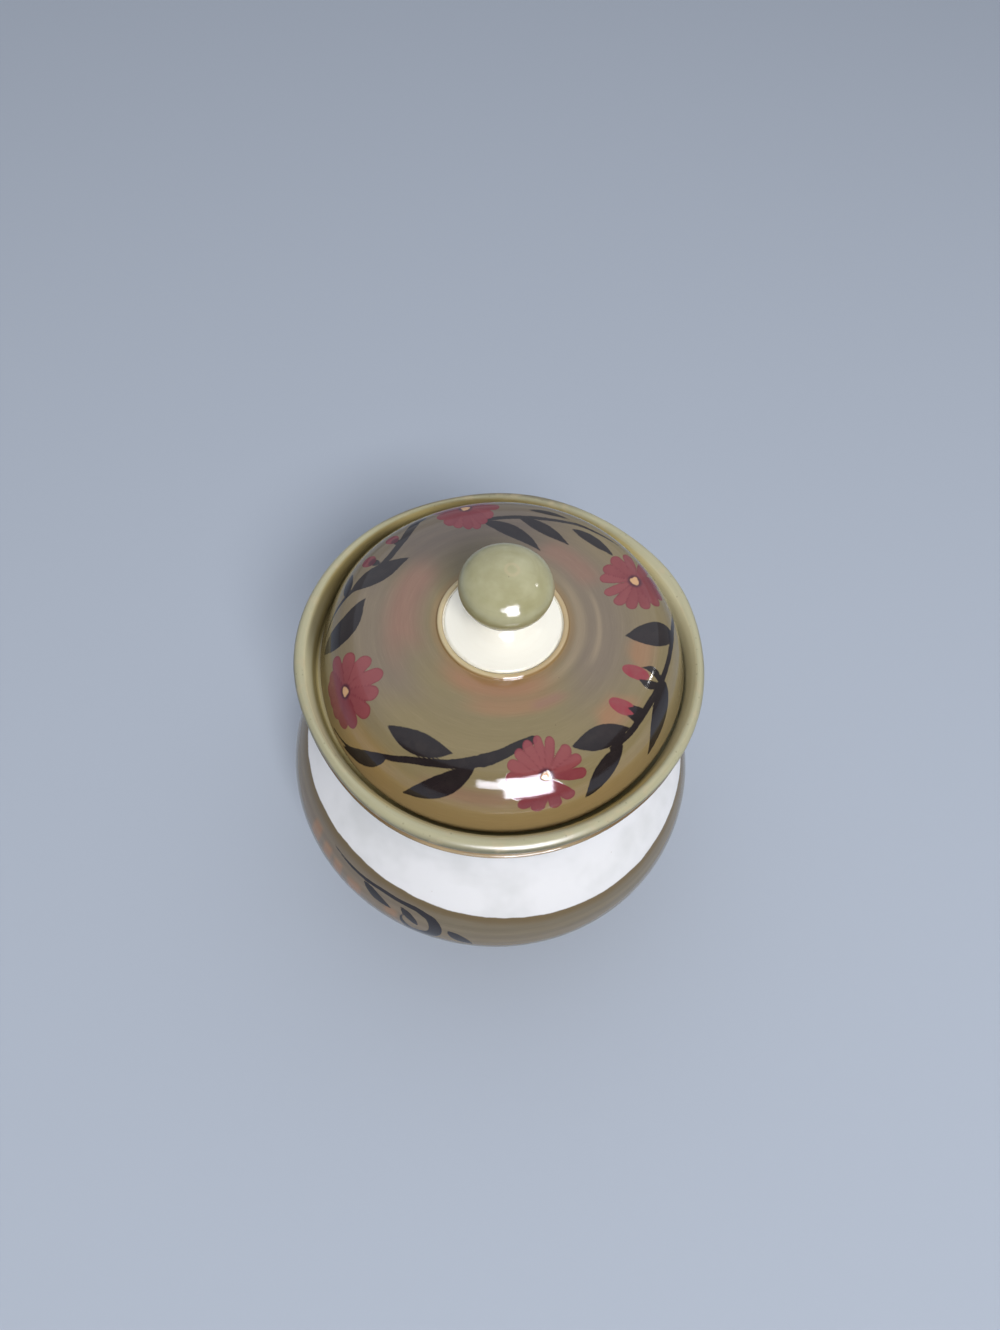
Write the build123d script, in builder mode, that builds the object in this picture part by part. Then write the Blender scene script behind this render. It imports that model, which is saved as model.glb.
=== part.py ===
from build123d import *
import os
from math import acos, cos, degrees, hypot, radians, sin

# A round-bellied glazed stoneware jar with a rolled rim, and a domed lid that
# drops into the rim. The knob is thrown apart and stuck to the lid's crown.
# Millimetres, +Z up, origin on the ground under the middle of the foot.

# Jar, outside
jar_height = 164.0
foot_radius = 58.0
foot_height = 5.0
belly_radius = 100.0
belly_height = 62.0
neck_radius = 71.6
neck_drop = 30.4

# Jar, inside
wall = 6.0
base_height = 9.0
foot_ring_width = 8.0
foot_recess = 4.0
foot_edge_round = 1.5

# Ledge inside the rim, which the lid stands on
ledge_width = 9.8
ledge_drop = 6.8
ledge_edge_round = 1.0

# Rolled rim, with the groove and the thin bead under it. The middle of the roll
# stands out from the ledge, and the bead's tip from the middle of the roll
rim_roll_radius = 3.4
rim_roll_reach = 4.6
bead_reach = 3.8
bead_size = 1.0
bead_drop = 6.0
groove_depth = 1.2

# Lid
lid_height = 30.0
lid_thickness = 5.5
lid_lip_round = 3.0
lid_gap = 1.4
flange_depth = 11.0
flange_thickness = 4.5
flange_gap = 1.5
flange_edge_round = 1.2

# Collar on the lid's crown, round the foot of the knob
collar_size = 1.3
collar_gap = 0.4

# Knob, a flattened ball on a waisted stem with a wide foot
knob_foot_radius = 22.4
knob_foot_edge = 1.2
knob_stem_radius = 8.5
knob_ball_radius = 17.0
knob_ball_half_height = 12.0
knob_height = 35.2
knob_stem_round = 1.5

# Outline between the named sizes: how far out, and how far up
low_belly_shares = (0.62, 0.40)
band_shares = (0.683, 0.385)
shoulder_shares = (0.24, 0.647)
under_rim_shares = (0.40, 0.62)
floor_radius_share = 0.62
lid_dome_shares = (
    (0.541, 0.977),
    (0.703, 0.900),
    (0.800, 0.803),
    (0.845, 0.717),
    (0.897, 0.563),
    (0.951, 0.343),
)

# Roll of the rim: where it starts under the outside, and how far it goes round
roll_start = -60
roll_sweep = 240

# Lip of the lid: where the dome's side runs into it
lip_start = 26.5

# Heights worked out from the sizes above
rim_height = jar_height - rim_roll_radius
neck_height = rim_height - neck_drop
bead_height = rim_height - bead_drop
ledge_height = rim_height - ledge_drop
crown_height = ledge_height + lid_height

# Radii worked out from the sizes above
throat_radius = neck_radius - wall
gallery_radius = throat_radius + ledge_width
rim_radius = gallery_radius + rim_roll_reach
bead_radius = rim_radius + bead_reach
lid_radius = gallery_radius - lid_gap
flange_radius = throat_radius - flange_gap
collar_radius = knob_foot_radius + collar_gap + collar_size

DOWN = (0, -1)
OUT = (1, 0)
IN = (-1, 0)


def between(low, high, share):
    """The value that lies this share of the way from low to high."""
    return low + share * (high - low)


def inset(before, station, after, depth):
    """The station moved inwards, square to the line through its neighbours."""
    run = after[0] - before[0], after[1] - before[1]
    length = hypot(*run)
    return station[0] - depth * run[1] / length, station[1] + depth * run[0] / length


# Stations of the jar's outside, from the foot to the underside of the rim
foot_top = (foot_radius, foot_height)
low_belly = (
    between(foot_radius, belly_radius, low_belly_shares[0]),
    between(foot_height, belly_height, low_belly_shares[1]),
)
belly = (belly_radius, belly_height)
band = (
    between(neck_radius, belly_radius, band_shares[0]),
    between(belly_height, neck_height, band_shares[1]),
)
shoulder = (
    between(neck_radius, belly_radius, shoulder_shares[0]),
    between(belly_height, neck_height, shoulder_shares[1]),
)
neck = (neck_radius, neck_height)
bead_foot = (bead_radius - bead_size, bead_height - bead_size)
bead_tip = (bead_radius, bead_height)
bead_top = (bead_radius - bead_size, bead_height + bead_size)
under_rim = (
    between(neck_radius, bead_foot[0], under_rim_shares[0]),
    between(neck_height, bead_foot[1], under_rim_shares[1]),
)
roll_foot = (
    rim_radius + rim_roll_radius * cos(radians(roll_start)),
    rim_height + rim_roll_radius * sin(radians(roll_start)),
)
groove = (
    bead_top[0] - groove_depth,
    between(bead_top[1], roll_foot[1], 1 / 2),
)

with BuildPart() as jar_body:
    with BuildSketch(Plane.XZ):
        with BuildLine():
            FilletPolyline(
                (0, foot_recess),
                (foot_radius - foot_ring_width, foot_recess),
                (foot_radius - foot_ring_width, 0),
                (foot_radius, 0),
                foot_top,
                radius=foot_edge_round,
            )
            Spline(
                foot_top,
                low_belly,
                belly,
                band,
                shoulder,
                neck,
                under_rim,
                bead_foot,
                tangents=((1, 1), (1, 1)),
            )
            ThreePointArc(bead_foot, bead_tip, bead_top)
            Polyline(bead_top, groove, roll_foot)
            rim_roll = CenterArc(
                (rim_radius, rim_height), rim_roll_radius, roll_start, roll_sweep
            )
            FilletPolyline(
                rim_roll @ 1,
                (gallery_radius, ledge_height),
                (throat_radius, ledge_height),
                (throat_radius, neck_height),
                radius=ledge_edge_round,
            )
            Spline(
                (throat_radius, neck_height),
                inset(band, shoulder, neck, wall),
                inset(belly, band, shoulder, wall),
                (belly_radius - wall, belly_height),
                inset(foot_top, low_belly, belly, wall),
                (foot_radius - wall, foot_height + wall),
                (foot_radius * floor_radius_share, base_height),
                tangents=(DOWN, IN),
            )
            Polyline(
                (foot_radius * floor_radius_share, base_height),
                (0, base_height),
                (0, foot_recess),
            )
        make_face()
    revolve(axis=Axis.Z)

# Stations of the lid's dome, from the collar out to the lip
dome = [(collar_radius + collar_size, crown_height)] + [
    (lid_radius * out, ledge_height + lid_height * up) for out, up in lid_dome_shares
]
lip_centre = (lid_radius - lid_lip_round, ledge_height + lid_lip_round)
flange_bore = flange_radius - flange_thickness
hollow_height = crown_height - lid_thickness
hollow_corner = (dome[1][0], dome[-1][1])

with BuildPart() as lid:
    with BuildSketch(Plane.XZ):
        with BuildLine():
            Line((0, crown_height), (collar_radius - collar_size, crown_height))
            ThreePointArc(
                (collar_radius - collar_size, crown_height),
                (collar_radius, crown_height + collar_size),
                (collar_radius + collar_size, crown_height),
            )
            lip = CenterArc(lip_centre, lid_lip_round, lip_start, -90 - lip_start)
            Spline(*dome, lip @ 0, tangents=(OUT, lip % 0))
            FilletPolyline(
                lip @ 1,
                (flange_radius, ledge_height),
                (flange_radius, ledge_height - flange_depth),
                (flange_bore, ledge_height - flange_depth),
                (flange_bore, hollow_corner[1]),
                radius=(flange_gap / 2, flange_edge_round, flange_edge_round),
            )
            EllipticalCenterArc(
                hollow_corner,
                flange_bore - hollow_corner[0],
                hollow_height - hollow_corner[1],
                arc_size=90,
            )
            Polyline(
                (hollow_corner[0], hollow_height),
                (0, hollow_height),
                (0, crown_height),
            )
        make_face()
    revolve(axis=Axis.Z)

# The ball starts where its underside is as wide as the stem
ball_start = -degrees(acos(knob_stem_radius / knob_ball_radius))
ball_height = crown_height + knob_height - knob_ball_half_height
foot_edge = (knob_foot_radius, crown_height + knob_foot_edge)

with BuildPart() as lid_knob:
    with BuildSketch(Plane.XZ):
        with BuildLine():
            Polyline((0, crown_height), (knob_foot_radius, crown_height), foot_edge)
            ball = EllipticalCenterArc(
                (0, ball_height),
                knob_ball_radius,
                knob_ball_half_height,
                start_angle=ball_start,
                arc_size=90 - ball_start,
            )
            stem_top = ball @ 0
            EllipticalCenterArc(
                (knob_foot_radius, stem_top.Y),
                knob_foot_radius - knob_stem_radius,
                stem_top.Y - foot_edge[1],
                start_angle=180,
                arc_size=90,
            )
            Line(ball @ 1, (0, crown_height))
        make_face()
    revolve(axis=Axis.Z)
    stem_edges = lid_knob.edges().filter_by_position(
        Axis.Z, stem_top.Y - knob_stem_round, stem_top.Y + knob_stem_round
    )
    fillet(stem_edges.filter_by(GeomType.CIRCLE), knob_stem_round)

os.makedirs("parts", exist_ok=True)

jar_body.part.label = "jar_body"
lid.part.label = "lid"
lid_knob.part.label = "lid_knob"

export_step(jar_body.part, "parts/jar_body.step")
export_step(lid.part, "parts/lid.step")
export_step(lid_knob.part, "parts/lid_knob.step")
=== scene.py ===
import math

import bpy
import numpy as np
from mathutils import Matrix, Vector


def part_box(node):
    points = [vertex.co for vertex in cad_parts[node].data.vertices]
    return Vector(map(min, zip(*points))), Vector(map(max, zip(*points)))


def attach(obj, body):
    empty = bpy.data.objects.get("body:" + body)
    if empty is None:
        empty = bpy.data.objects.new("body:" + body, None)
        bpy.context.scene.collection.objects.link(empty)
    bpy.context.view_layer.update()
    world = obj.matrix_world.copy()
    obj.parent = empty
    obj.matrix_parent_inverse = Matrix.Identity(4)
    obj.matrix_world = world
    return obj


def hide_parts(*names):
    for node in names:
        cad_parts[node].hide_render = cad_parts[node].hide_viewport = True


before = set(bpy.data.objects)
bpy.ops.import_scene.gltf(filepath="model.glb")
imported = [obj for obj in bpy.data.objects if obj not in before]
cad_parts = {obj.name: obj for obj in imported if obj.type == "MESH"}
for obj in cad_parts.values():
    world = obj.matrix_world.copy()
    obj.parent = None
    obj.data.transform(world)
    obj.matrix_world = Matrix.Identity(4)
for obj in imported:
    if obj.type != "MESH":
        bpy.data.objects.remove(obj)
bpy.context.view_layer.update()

# A glazed pottery jar with a painted, domed lid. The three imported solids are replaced
# by finer, hand-thrown meshes that follow the same outlines. Outlines and painted marks
# are written in millimetres and degrees; azimuth 0 is +X, and -90 faces the viewer.

JAR_HEIGHT = 164.0
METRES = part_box("jar_body")[1].z / JAR_HEIGHT

# Jar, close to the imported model: the gallery is 0.5 mm narrower and the bead 0.4 mm
FOOT_RADIUS = 58.0
FOOT_HEIGHT = 5.0
BELLY_RADIUS = 100.0
BELLY_HEIGHT = 62.0
NECK_RADIUS = 71.6
NECK_HEIGHT = 130.2
WALL = 6.0
BASE_HEIGHT = 9.0
FOOT_RING = 8.0
FOOT_RECESS = 4.0
LEDGE_HEIGHT = 153.8
THROAT_RADIUS = NECK_RADIUS - WALL
GALLERY_RADIUS = 74.9
ROLL_RADIUS = 3.4
ROLL_MIDDLE = (80.0, 160.6)
BEAD_TIP = (83.4, 154.6)
BEAD_SIZE = 1.0
LOW_BELLY = (84.04, 27.8)
BAND = (91.0, 88.26)
SHOULDER = (78.42, 106.12)
UNDER_RIM = (76.1, 144.7)

# The belly's rings are closer between these heights, where it is painted
PAINTED_HEIGHTS = (44, 94)

# Inside the rim, from its top down to the gallery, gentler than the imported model's roll
RIM_SLOPE = ((78.5, 163.7), (77.3, 162.7), (76.4, 161.2), (75.6, 158.9), (GALLERY_RADIUS, 155.6))

# Inside the jar, where the wall passes its shoulder, its band and its low belly
INSIDE_SHOULDER = (73.0, 103.8)
INSIDE_BAND = (85.9, 85.0)
INSIDE_LOW = (79.6, 31.9)
FLOOR_RADIUS = FOOT_RADIUS * 0.62

# Along the jar's outline from the start of its ledge, the bare seat for the lid
SEAT_START = 7.0
SEAT_END = 26.0

# Glaze inside the foot ring ends near this radius
RECESS_GLAZE = 49.0

# Lid and knob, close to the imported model: the dome is up to 0.8 mm wider, the knob's foot 0.3 mm
LID_RADIUS = 74.0
LID_HEIGHT = 30.0
LID_WALL = 5.5
CROWN_HEIGHT = LEDGE_HEIGHT + LID_HEIGHT
LIP_ROUND = 3.0
LIP_START = 26.5
FLANGE_RADIUS = 64.1
FLANGE_BORE = 59.6
FLANGE_DEPTH = 11.0
DOME = (
    (40.03, 183.11), (52.2, 180.8), (59.8, 177.89), (63.2, 175.31), (67.2, 170.69), (71.0, 164.09),
)
COLLAR_RADIUS = 24.1
COLLAR_SIZE = 1.3
KNOB_FOOT_RADIUS = 22.7
KNOB_FOOT_EDGE = 1.2
STEM_RADIUS = 8.5
BALL_RADIUS = 17.0
BALL_HALF_HEIGHT = 12.0
BALL_HEIGHT = CROWN_HEIGHT + 23.2

# The thrown ball sags a little, and its green glaze ends this far under its middle
BALL_LOW_HALF = 13.2
BALL_GLAZE_DEPTH = 8.0

GLAZE_IOR = 1.47

# Vertices round each piece
LID_TURNS = 600
KNOB_TURNS = 288
JAR_TURNS = 480

# The camera, fitted to the jar's outlines: its place in metres, and its tilt in degrees
CAMERA_PLACE = (0.00034, -0.15211, 0.42571)
CAMERA_PITCH = 61.2
CAMERA_ROLL = 5.2
FOCAL_PIXELS = 750
IMAGE_HEIGHT = 1330

# Lamps are placed round this point, and face it
MIDDLE = Vector((0, 0, 0.17))
PANE_DISTANCE = 1.3
COOL = (0.88, 0.88, 1.0)
SKY = (0.78, 0.86, 1.0)

# The room's light, which grows from dim to bright along this way
BRIGHT_WAY = (0, 0.85, 0.5)
ROOM_DIM = (0.13, 0.13, 0.135, 1)
ROOM_BRIGHT = (0.62, 0.65, 0.70, 1)

# Half the floor's side, in metres
FLOOR_HALF = 3.0


# Colours

def paint(code):
    """An sRGB colour such as "#8a7d5c" as linear RGBA."""
    parts = [int(code[i:i + 2], 16) / 255 for i in (1, 3, 5)]
    linear = [c / 12.92 if c <= 0.04045 else ((c + 0.055) / 1.055) ** 2.4 for c in parts]
    return (*linear, 1.0)


OLIVE = paint("#837553")
GOLD = paint("#95794a")
TAUPE = paint("#796b5f")
TAUPE_PAINTED_SHADE = paint("#5f5450")
PEACH = paint("#9b7252")
ROSE = paint("#8d6a5a")
SAGE = paint("#a29d76")
SAGE_PALE = paint("#b5b18d")
SAGE_DARK = paint("#857c4c")
SAGE_DEEP = paint("#4c4128")
SAGE_INNER = paint("#a09264")
RIM_FLANK = paint("#78745a")
RIM_PALE = paint("#b0ab8b")
RIM_GOLD = paint("#c0ae76")
RIM_PAINTED_LIGHT = paint("#d3cca8")
RIM_TAN = paint("#7d664a")
UMBER = paint("#4a3a24")
CREAM = paint("#fbf8ec")
NECK_WHITE = paint("#ecebec")
NECK_CLOUD = paint("#cbccca")
BUFF = paint("#c7b18e")
COLLAR_BEIGE = paint("#bea77f")
COLLAR_PAINTED_LIGHT = paint("#c9b78f")
COLLAR_LINE = paint("#937449")
CLAY = paint("#b48a66")
INK = paint("#170f15")
INK_THIN = paint("#3b322f")
CRIMSON = paint("#752232")
CRIMSON_LIGHT = paint("#8d4348")
MAROON = paint("#3f1a2a")
YOLK = paint("#cfa276")
BUD_RED = paint("#8f2a3a")
BELLY_WASH = paint("#736853")
BELLY_EDGE = paint("#6c5834")
FLOOR_PALE = paint("#b3bbc8")

# Depth of a vertex in a mark that is nowhere near it, and how far round a mark depth is worked out
UNPAINTED = -9.0
SURROUND = 3.0


# Outlines, as rows of radius and height

def hermite(t, length, start, end, slope, last_slope):
    """The cubic from start to end with these slopes, at the share t of its length."""
    return (
        (2 * t**3 - 3 * t**2 + 1) * start + (t**3 - 2 * t**2 + t) * length * slope
        + (3 * t**2 - 2 * t**3) * end + (t**3 - t**2) * length * last_slope
    )


def spline(points, first, last, step):
    """A smooth curve through the points that leaves along first and arrives along last."""
    p = np.array(points, float)
    h = np.hypot(*np.diff(p, axis=0).T)
    slope = np.diff(p, axis=0) / h[:, None]
    n = len(p)
    matrix, right = np.eye(n), np.zeros((n, 2))
    right[0] = np.array(first, float) / np.hypot(*first)
    right[-1] = np.array(last, float) / np.hypot(*last)
    for i in range(1, n - 1):
        matrix[i, i - 1:i + 2] = h[i], 2 * (h[i - 1] + h[i]), h[i - 1]
        right[i] = 3 * (h[i] * slope[i - 1] + h[i - 1] * slope[i])
    m = np.linalg.solve(matrix, right)
    rows = []
    for i in range(n - 1):
        t = np.arange(0, 1, step / h[i])[:, None]
        rows.append(hermite(t, h[i], p[i], p[i + 1], m[i], m[i + 1]))
    return np.vstack([*rows, p[-1:]])


def arc(centre, radii, start, end, count):
    """Part of an ellipse from one angle to another, in degrees."""
    a = np.radians(np.linspace(start, end, count))
    return np.stack([centre[0] + radii[0] * np.cos(a), centre[1] + radii[1] * np.sin(a)], 1)


def rounded(points, radius):
    """Straight runs with every inner corner rounded."""
    p = np.array(points, float)
    rows = [p[:1]]
    for before, corner, after in zip(p, p[1:], p[2:]):
        a = (before - corner) / np.hypot(*(before - corner))
        b = (after - corner) / np.hypot(*(after - corner))
        half = math.acos(np.clip(a @ b, -1, 1)) / 2
        reach = radius / math.tan(half)
        centre = corner + (a + b) / np.hypot(*(a + b)) * radius / math.sin(half)
        t = np.linspace(0, 1, 7)[:, None]
        chord = (corner + a * reach) * (1 - t) + (corner + b * reach) * t - centre
        rows.append(centre + chord / np.hypot(*chord.T)[:, None] * radius)
    return np.vstack([*rows, p[-1:]])


def run_along(points):
    """How far along a line of points each of them lies."""
    return np.concatenate([[0], np.cumsum(np.hypot(*np.diff(points, axis=0).T))])


class Outline:
    """Named stretches of an outline, end to end. One with a step is divided evenly."""

    def __init__(self, stretches):
        self.start = {}
        rows, run = [], 0.0
        for name, points, step in stretches:
            points = np.array(points, float)
            along = run_along(points)
            if step:
                even = np.linspace(0, along[-1], round(along[-1] / step) + 1)
                points = np.stack([np.interp(even, along, points[:, k]) for k in (0, 1)], 1)
            self.start[name] = run
            run += along[-1]
            rows.append(points[1:] if rows else points)
        self.points = np.vstack(rows)
        self.run = run_along(self.points)


# What a mesh attribute is called, by the shape of one value in it
ATTRIBUTE_KINDS = {
    (): ("FLOAT", "value"),
    (3,): ("FLOAT_VECTOR", "vector"),
    (4,): ("FLOAT_COLOR", "color"),
}


def added(name, data):
    """A new object in the scene, at the origin."""
    made = bpy.data.objects.new(name, data)
    bpy.context.scene.collection.objects.link(made)
    return made


def closed(values):
    """A grid's values as the mesh has them, where the first and last rings are one vertex each."""
    inner = values[1:-1].reshape(-1, *values.shape[2:])
    return np.concatenate([values[:1].mean(1), inner, values[-1:].mean(1)])


class Turned:
    """A surface of revolution: its grid of rings, and the mesh made of it."""

    def __init__(self, outline, turns):
        self.outline = outline
        angle = np.linspace(-math.pi, math.pi, turns, endpoint=False)
        rings = len(outline.points)
        self.radius = np.repeat(outline.points[:, :1], turns, axis=1)
        self.height = np.repeat(outline.points[:, 1:], turns, axis=1)
        self.run = np.repeat(outline.run[:, None], turns, axis=1)
        self.azimuth = np.repeat(angle[None], rings, axis=0)

    def across(self):
        """Where each vertex lies in x and in y."""
        return self.radius * np.cos(self.azimuth), self.radius * np.sin(self.azimuth)

    def mesh(self, name, attributes, material):
        """Makes the object. The first and last rings close on the axis in one vertex each."""
        points = closed(np.stack([*self.across(), self.height], -1) * METRES)
        rings, turns = self.radius.shape
        ring = np.arange(turns)
        after = (ring + 1) % turns
        faces = np.stack([0 * ring, 1 + after, 1 + ring], 1).tolist()
        for i in range(rings - 3):
            low, high = 1 + i * turns, 1 + (i + 1) * turns
            faces += np.stack([low + ring, low + after, high + after, high + ring], 1).tolist()
        top, last = len(points) - 1, 1 + (rings - 3) * turns
        faces += np.stack([last + ring, last + after, top + 0 * ring], 1).tolist()
        data = bpy.data.meshes.new(name)
        data.from_pydata(points.tolist(), [], faces)
        data.shade_smooth()
        for key, values in attributes.items():
            kind, field = ATTRIBUTE_KINDS[values.shape[2:]]
            made = data.attributes.new(key, kind, "POINT")
            made.data.foreach_set(field, closed(values).astype(np.float32).ravel())
        data.materials.append(material)
        return added(name, data)

    def grain(self, fast, slow):
        """Coordinates that run fast across the throwing lines and slowly along them."""
        x, y = self.across()
        return np.stack([self.run * fast, x * slow, y * slow], -1)


def apart(azimuth, centre):
    """Degrees between each vertex and a centre azimuth, from 0 to 180."""
    return np.abs((np.degrees(azimuth) - centre + 180) % 360 - 180)


def dents(azimuth, rows):
    """How far hand-made dents and bulges move the wall out, at each azimuth."""
    moved = np.zeros_like(azimuth)
    for centre, spread, depth in rows:
        moved += depth * np.exp(-((apart(azimuth, centre) / spread) ** 2))
    return moved


def ramp(x, low, high):
    """0 at low, 1 at high, and smooth between. It falls where low is the greater one."""
    t = np.clip((x - low) / (high - low), 0, 1)
    return t * t * (3 - 2 * t)


def beside(azimuth, centre, outer, inner):
    """1 within inner degrees of a centre azimuth, 0 past outer degrees, and smooth between."""
    return ramp(apart(azimuth, centre), outer, inner)


def streaks(turned, seed, fineness, count=28):
    """Bristle marks round the wheel, from about -1 to 1."""
    rng = np.random.default_rng(seed)
    total = np.zeros_like(turned.run)
    for _ in range(count):
        across = rng.uniform(0.3, 1.0) * fineness
        turns = rng.integers(0, 5)
        total += np.cos(across * turned.run + turns * turned.azimuth + rng.uniform(0, 6.28))
    return total / math.sqrt(count / 2)


# Painted marks. Each is a brush stroke: a line of discs whose size changes along it

class Canvas:
    """Where strokes land on a turned surface, and how deep each vertex lies in them."""

    def __init__(self, turned, station, low, high):
        """station names what places a mark, its radius or its height. low and high are runs."""
        self.turned = turned
        # Degrees that are added to the azimuth of every mark
        self.turn = 0
        column = {"radius": 0, "height": 1}[station]
        points, run = turned.outline.points, turned.outline.run
        inside = (run >= low) & (run <= high)
        order = np.argsort(points[inside, column])
        self.station = points[inside, column][order]
        self.station_run = run[inside][order]
        self.station_radius = points[inside, 0][order]
        self.inside = (turned.run >= low - 1) & (turned.run <= high + 1)

    def place(self, spots):
        """Azimuth and station of each spot as run, angle and radius."""
        spots = np.array(spots, float) + (self.turn, 0)
        run = np.interp(spots[:, 1], self.station, self.station_run)
        radius = np.interp(spots[:, 1], self.station, self.station_radius)
        return np.stack([run, np.unwrap(np.radians(spots[:, 0])), radius], 1)

    def blank(self):
        return np.full(self.turned.run.shape, UNPAINTED)

    def stroke(self, line, widths):
        """Depth inside a stroke, share of the way along it and signed offset to its side."""
        t = self.turned
        middle = line[:, 1].mean()
        away = (t.azimuth - middle + math.pi) % (2 * math.pi) - math.pi
        size = widths.max() + SURROUND
        near = self.inside & (t.run > line[:, 0].min() - size) & (t.run < line[:, 0].max() + size)
        spread = np.abs(line[:, 1] - middle).max() + size / line[:, 2].min()
        near &= np.abs(away) < spread
        depth, share, side = self.blank(), np.zeros_like(t.run), np.zeros_like(t.run)
        run, angle = t.run[near], away[near] + middle
        best = np.full(run.shape, UNPAINTED)
        best_share, best_side = np.zeros_like(run), np.zeros_like(run)
        for k, (at_run, at_angle, at_radius) in enumerate(line):
            along, across = run - at_run, at_radius * (angle - at_angle)
            here = widths[k] - np.hypot(along, across)
            a, b = line[max(k - 1, 0)], line[min(k + 1, len(line) - 1)]
            heading = np.array([b[0] - a[0], at_radius * (b[1] - a[1])])
            heading /= max(np.hypot(*heading), 1e-6)
            offset = (heading[0] * across - heading[1] * along) / max(widths[k], 0.3)
            won = here > best
            best[won] = here[won]
            best_share[won] = k / (len(line) - 1)
            best_side[won] = offset[won]
        depth[near], share[near], side[near] = best, best_share, best_side
        return depth, share, side

    def line(self, spots, count):
        """A smooth line through the spots."""
        rows = self.place(spots)
        gap = np.hypot(np.diff(rows[:, 0]), rows[:-1, 2] * np.diff(rows[:, 1]))
        along = np.concatenate([[0], np.cumsum(gap)])
        t = np.linspace(0, along[-1], count)
        made = []
        for column in rows.T:
            slope = np.gradient(column, along)
            i = np.clip(np.searchsorted(along, t, side="right") - 1, 0, len(gap) - 1)
            share = (t - along[i]) / gap[i]
            made.append(hermite(share, gap[i], column[i], column[i + 1], slope[i], slope[i + 1]))
        return np.stack(made, 1)


class Painting:
    """The painted layers of one surface: depth in each paint in millimetres, and two tones."""

    def __init__(self, canvas, seed):
        self.canvas = canvas
        self.rng = np.random.default_rng(seed)
        self.layers = {name: canvas.blank() for name in ("ink", "petal", "ring", "eye", "bud")}
        for name in ("ink_thin", "petal_tone"):
            self.layers[name] = np.zeros_like(canvas.turned.run)

    def add(self, name, depth):
        """Adds a mark to a layer, where each vertex keeps its greatest depth."""
        self.layers[name] = np.maximum(self.layers[name], depth)

    def lay_ink(self, depth, thin):
        top = depth > -0.3
        self.layers["ink_thin"][top] = thin[top]
        self.add("ink", depth)

    def leaf(self, base, middle, tip, half_width, thinness, fullest=0.85):
        """A leaf from its base to its sharp tip, thinner in paint along its middle."""
        line = self.canvas.line([base, middle, tip], 60)
        t = np.linspace(0, 1, len(line))
        widths = half_width * np.sin(math.pi * t**fullest) ** 1.1
        depth, share, side = self.canvas.stroke(line, widths)
        lean = self.rng.uniform(-0.3, 0.3)
        thin = np.exp(-(((side - lean) / 0.6) ** 2)) * np.sin(math.pi * share)
        self.lay_ink(depth, thin * thinness)

    def stem(self, spots, widths):
        line = self.canvas.line(spots, 20 * len(spots))
        t = np.linspace(0, 1, len(line))
        sizes = np.interp(t, np.linspace(0, 1, len(widths)), widths)
        depth, share, side = self.canvas.stroke(line, sizes)
        self.lay_ink(depth, 0.1 * (1 + np.cos(share * 20)) * (np.abs(side) < 0.6))

    def bud_on(self, tip, middle, base, half_width, sepals):
        """An oval bud, and dark sepals that hold its base. A sepal goes from the stem outwards."""
        rows = self.canvas.line([tip, middle, base], 65)
        gap = np.hypot(np.diff(rows[:, 0]), rows[:-1, 2] * np.diff(rows[:, 1]))
        longer = max(0.0, 1 - (2 * half_width / gap.sum()) ** 2)
        t = np.linspace(-1, 1, 25)
        share = 0.5 + 0.5 * longer * t
        line = np.stack([np.interp(share, np.linspace(0, 1, 65), column) for column in rows.T], 1)
        depth, _, _ = self.canvas.stroke(line, half_width * np.sqrt(1 - longer * t**2))
        self.add("bud", depth)
        for foot, bulge, end, width in sepals:
            self.leaf(foot, bulge, end, width, 0.15, 0.8)

    def round_bud(self, azimuth, station, size):
        """A closed bud seen from its side, dark where it sits on its stem."""
        centre = self.canvas.place([(azimuth, station)])[0]
        depth = self.dab(centre, 0, 0, size)
        self.layers["petal_tone"][depth > 0] = 0.35
        self.add("petal", depth)
        self.add("ring", self.dab(centre, -0.9 * size, 0, 0.9 * size))
        self.lay_ink(self.dab(centre, -1.1 * size, 0, 0.55 * size), np.zeros_like(depth))

    def flower(self, azimuth, station, reach, headings, longest, lean, half_width=2.5, painted_light=0.5):
        """Petals at the headings: 0 runs on along the outline, and 90 towards more azimuth.

        Petals near the longest heading are longer, by the share lean, and those opposite shorter.
        pale is how light their paint is, from 0 to 1.
        """
        centre = self.canvas.place([(azimuth, station)])[0]
        for degrees in self.rng.permutation(headings):
            heading = math.radians(degrees)
            longer = 1 + lean * math.cos(heading - math.radians(longest))
            length = reach * longer * self.rng.uniform(0.95, 1.05)
            width = half_width * self.rng.uniform(0.92, 1.12)
            t = np.linspace(0, 1, 26)
            distance = 1.5 + t * (length - 1.5 - width)
            line = np.stack([
                centre[0] + distance * math.cos(heading),
                centre[1] + distance * math.sin(heading) / centre[2],
                np.full(len(t), centre[2]),
            ], 1)
            widths = width * (0.3 + 0.7 * np.sin(math.pi / 2 * np.clip(1.2 * t, 0, 1)) ** 1.3)
            depth, share, side = self.canvas.stroke(line, widths)
            top = depth > 0
            edge = np.clip(depth / 0.6, 0, 1)
            tone = painted_light - 0.3 * math.cos(heading) + self.rng.uniform(-0.15, 0.15) + 0.15 * share
            value = tone * (0.45 + 0.55 * edge)
            self.layers["petal_tone"][top] = value[top]
            self.add("petal", depth)
        self.add("ring", self.dab(centre, 0, 0, 3.2))
        dabs = ((0, 0, 1.6), (0.8, 0.9, 0.9), (-0.9, 0.7, 0.9), (0.1, -1.0, 1.0))
        for along, across, size in dabs:
            self.add("eye", self.dab(centre, along, across, size))

    def dab(self, centre, along, across, size):
        spot = centre + (along, across / centre[2], 0)
        depth, _, _ = self.canvas.stroke(np.array([spot, spot]), np.array([size, size]))
        return depth


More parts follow.
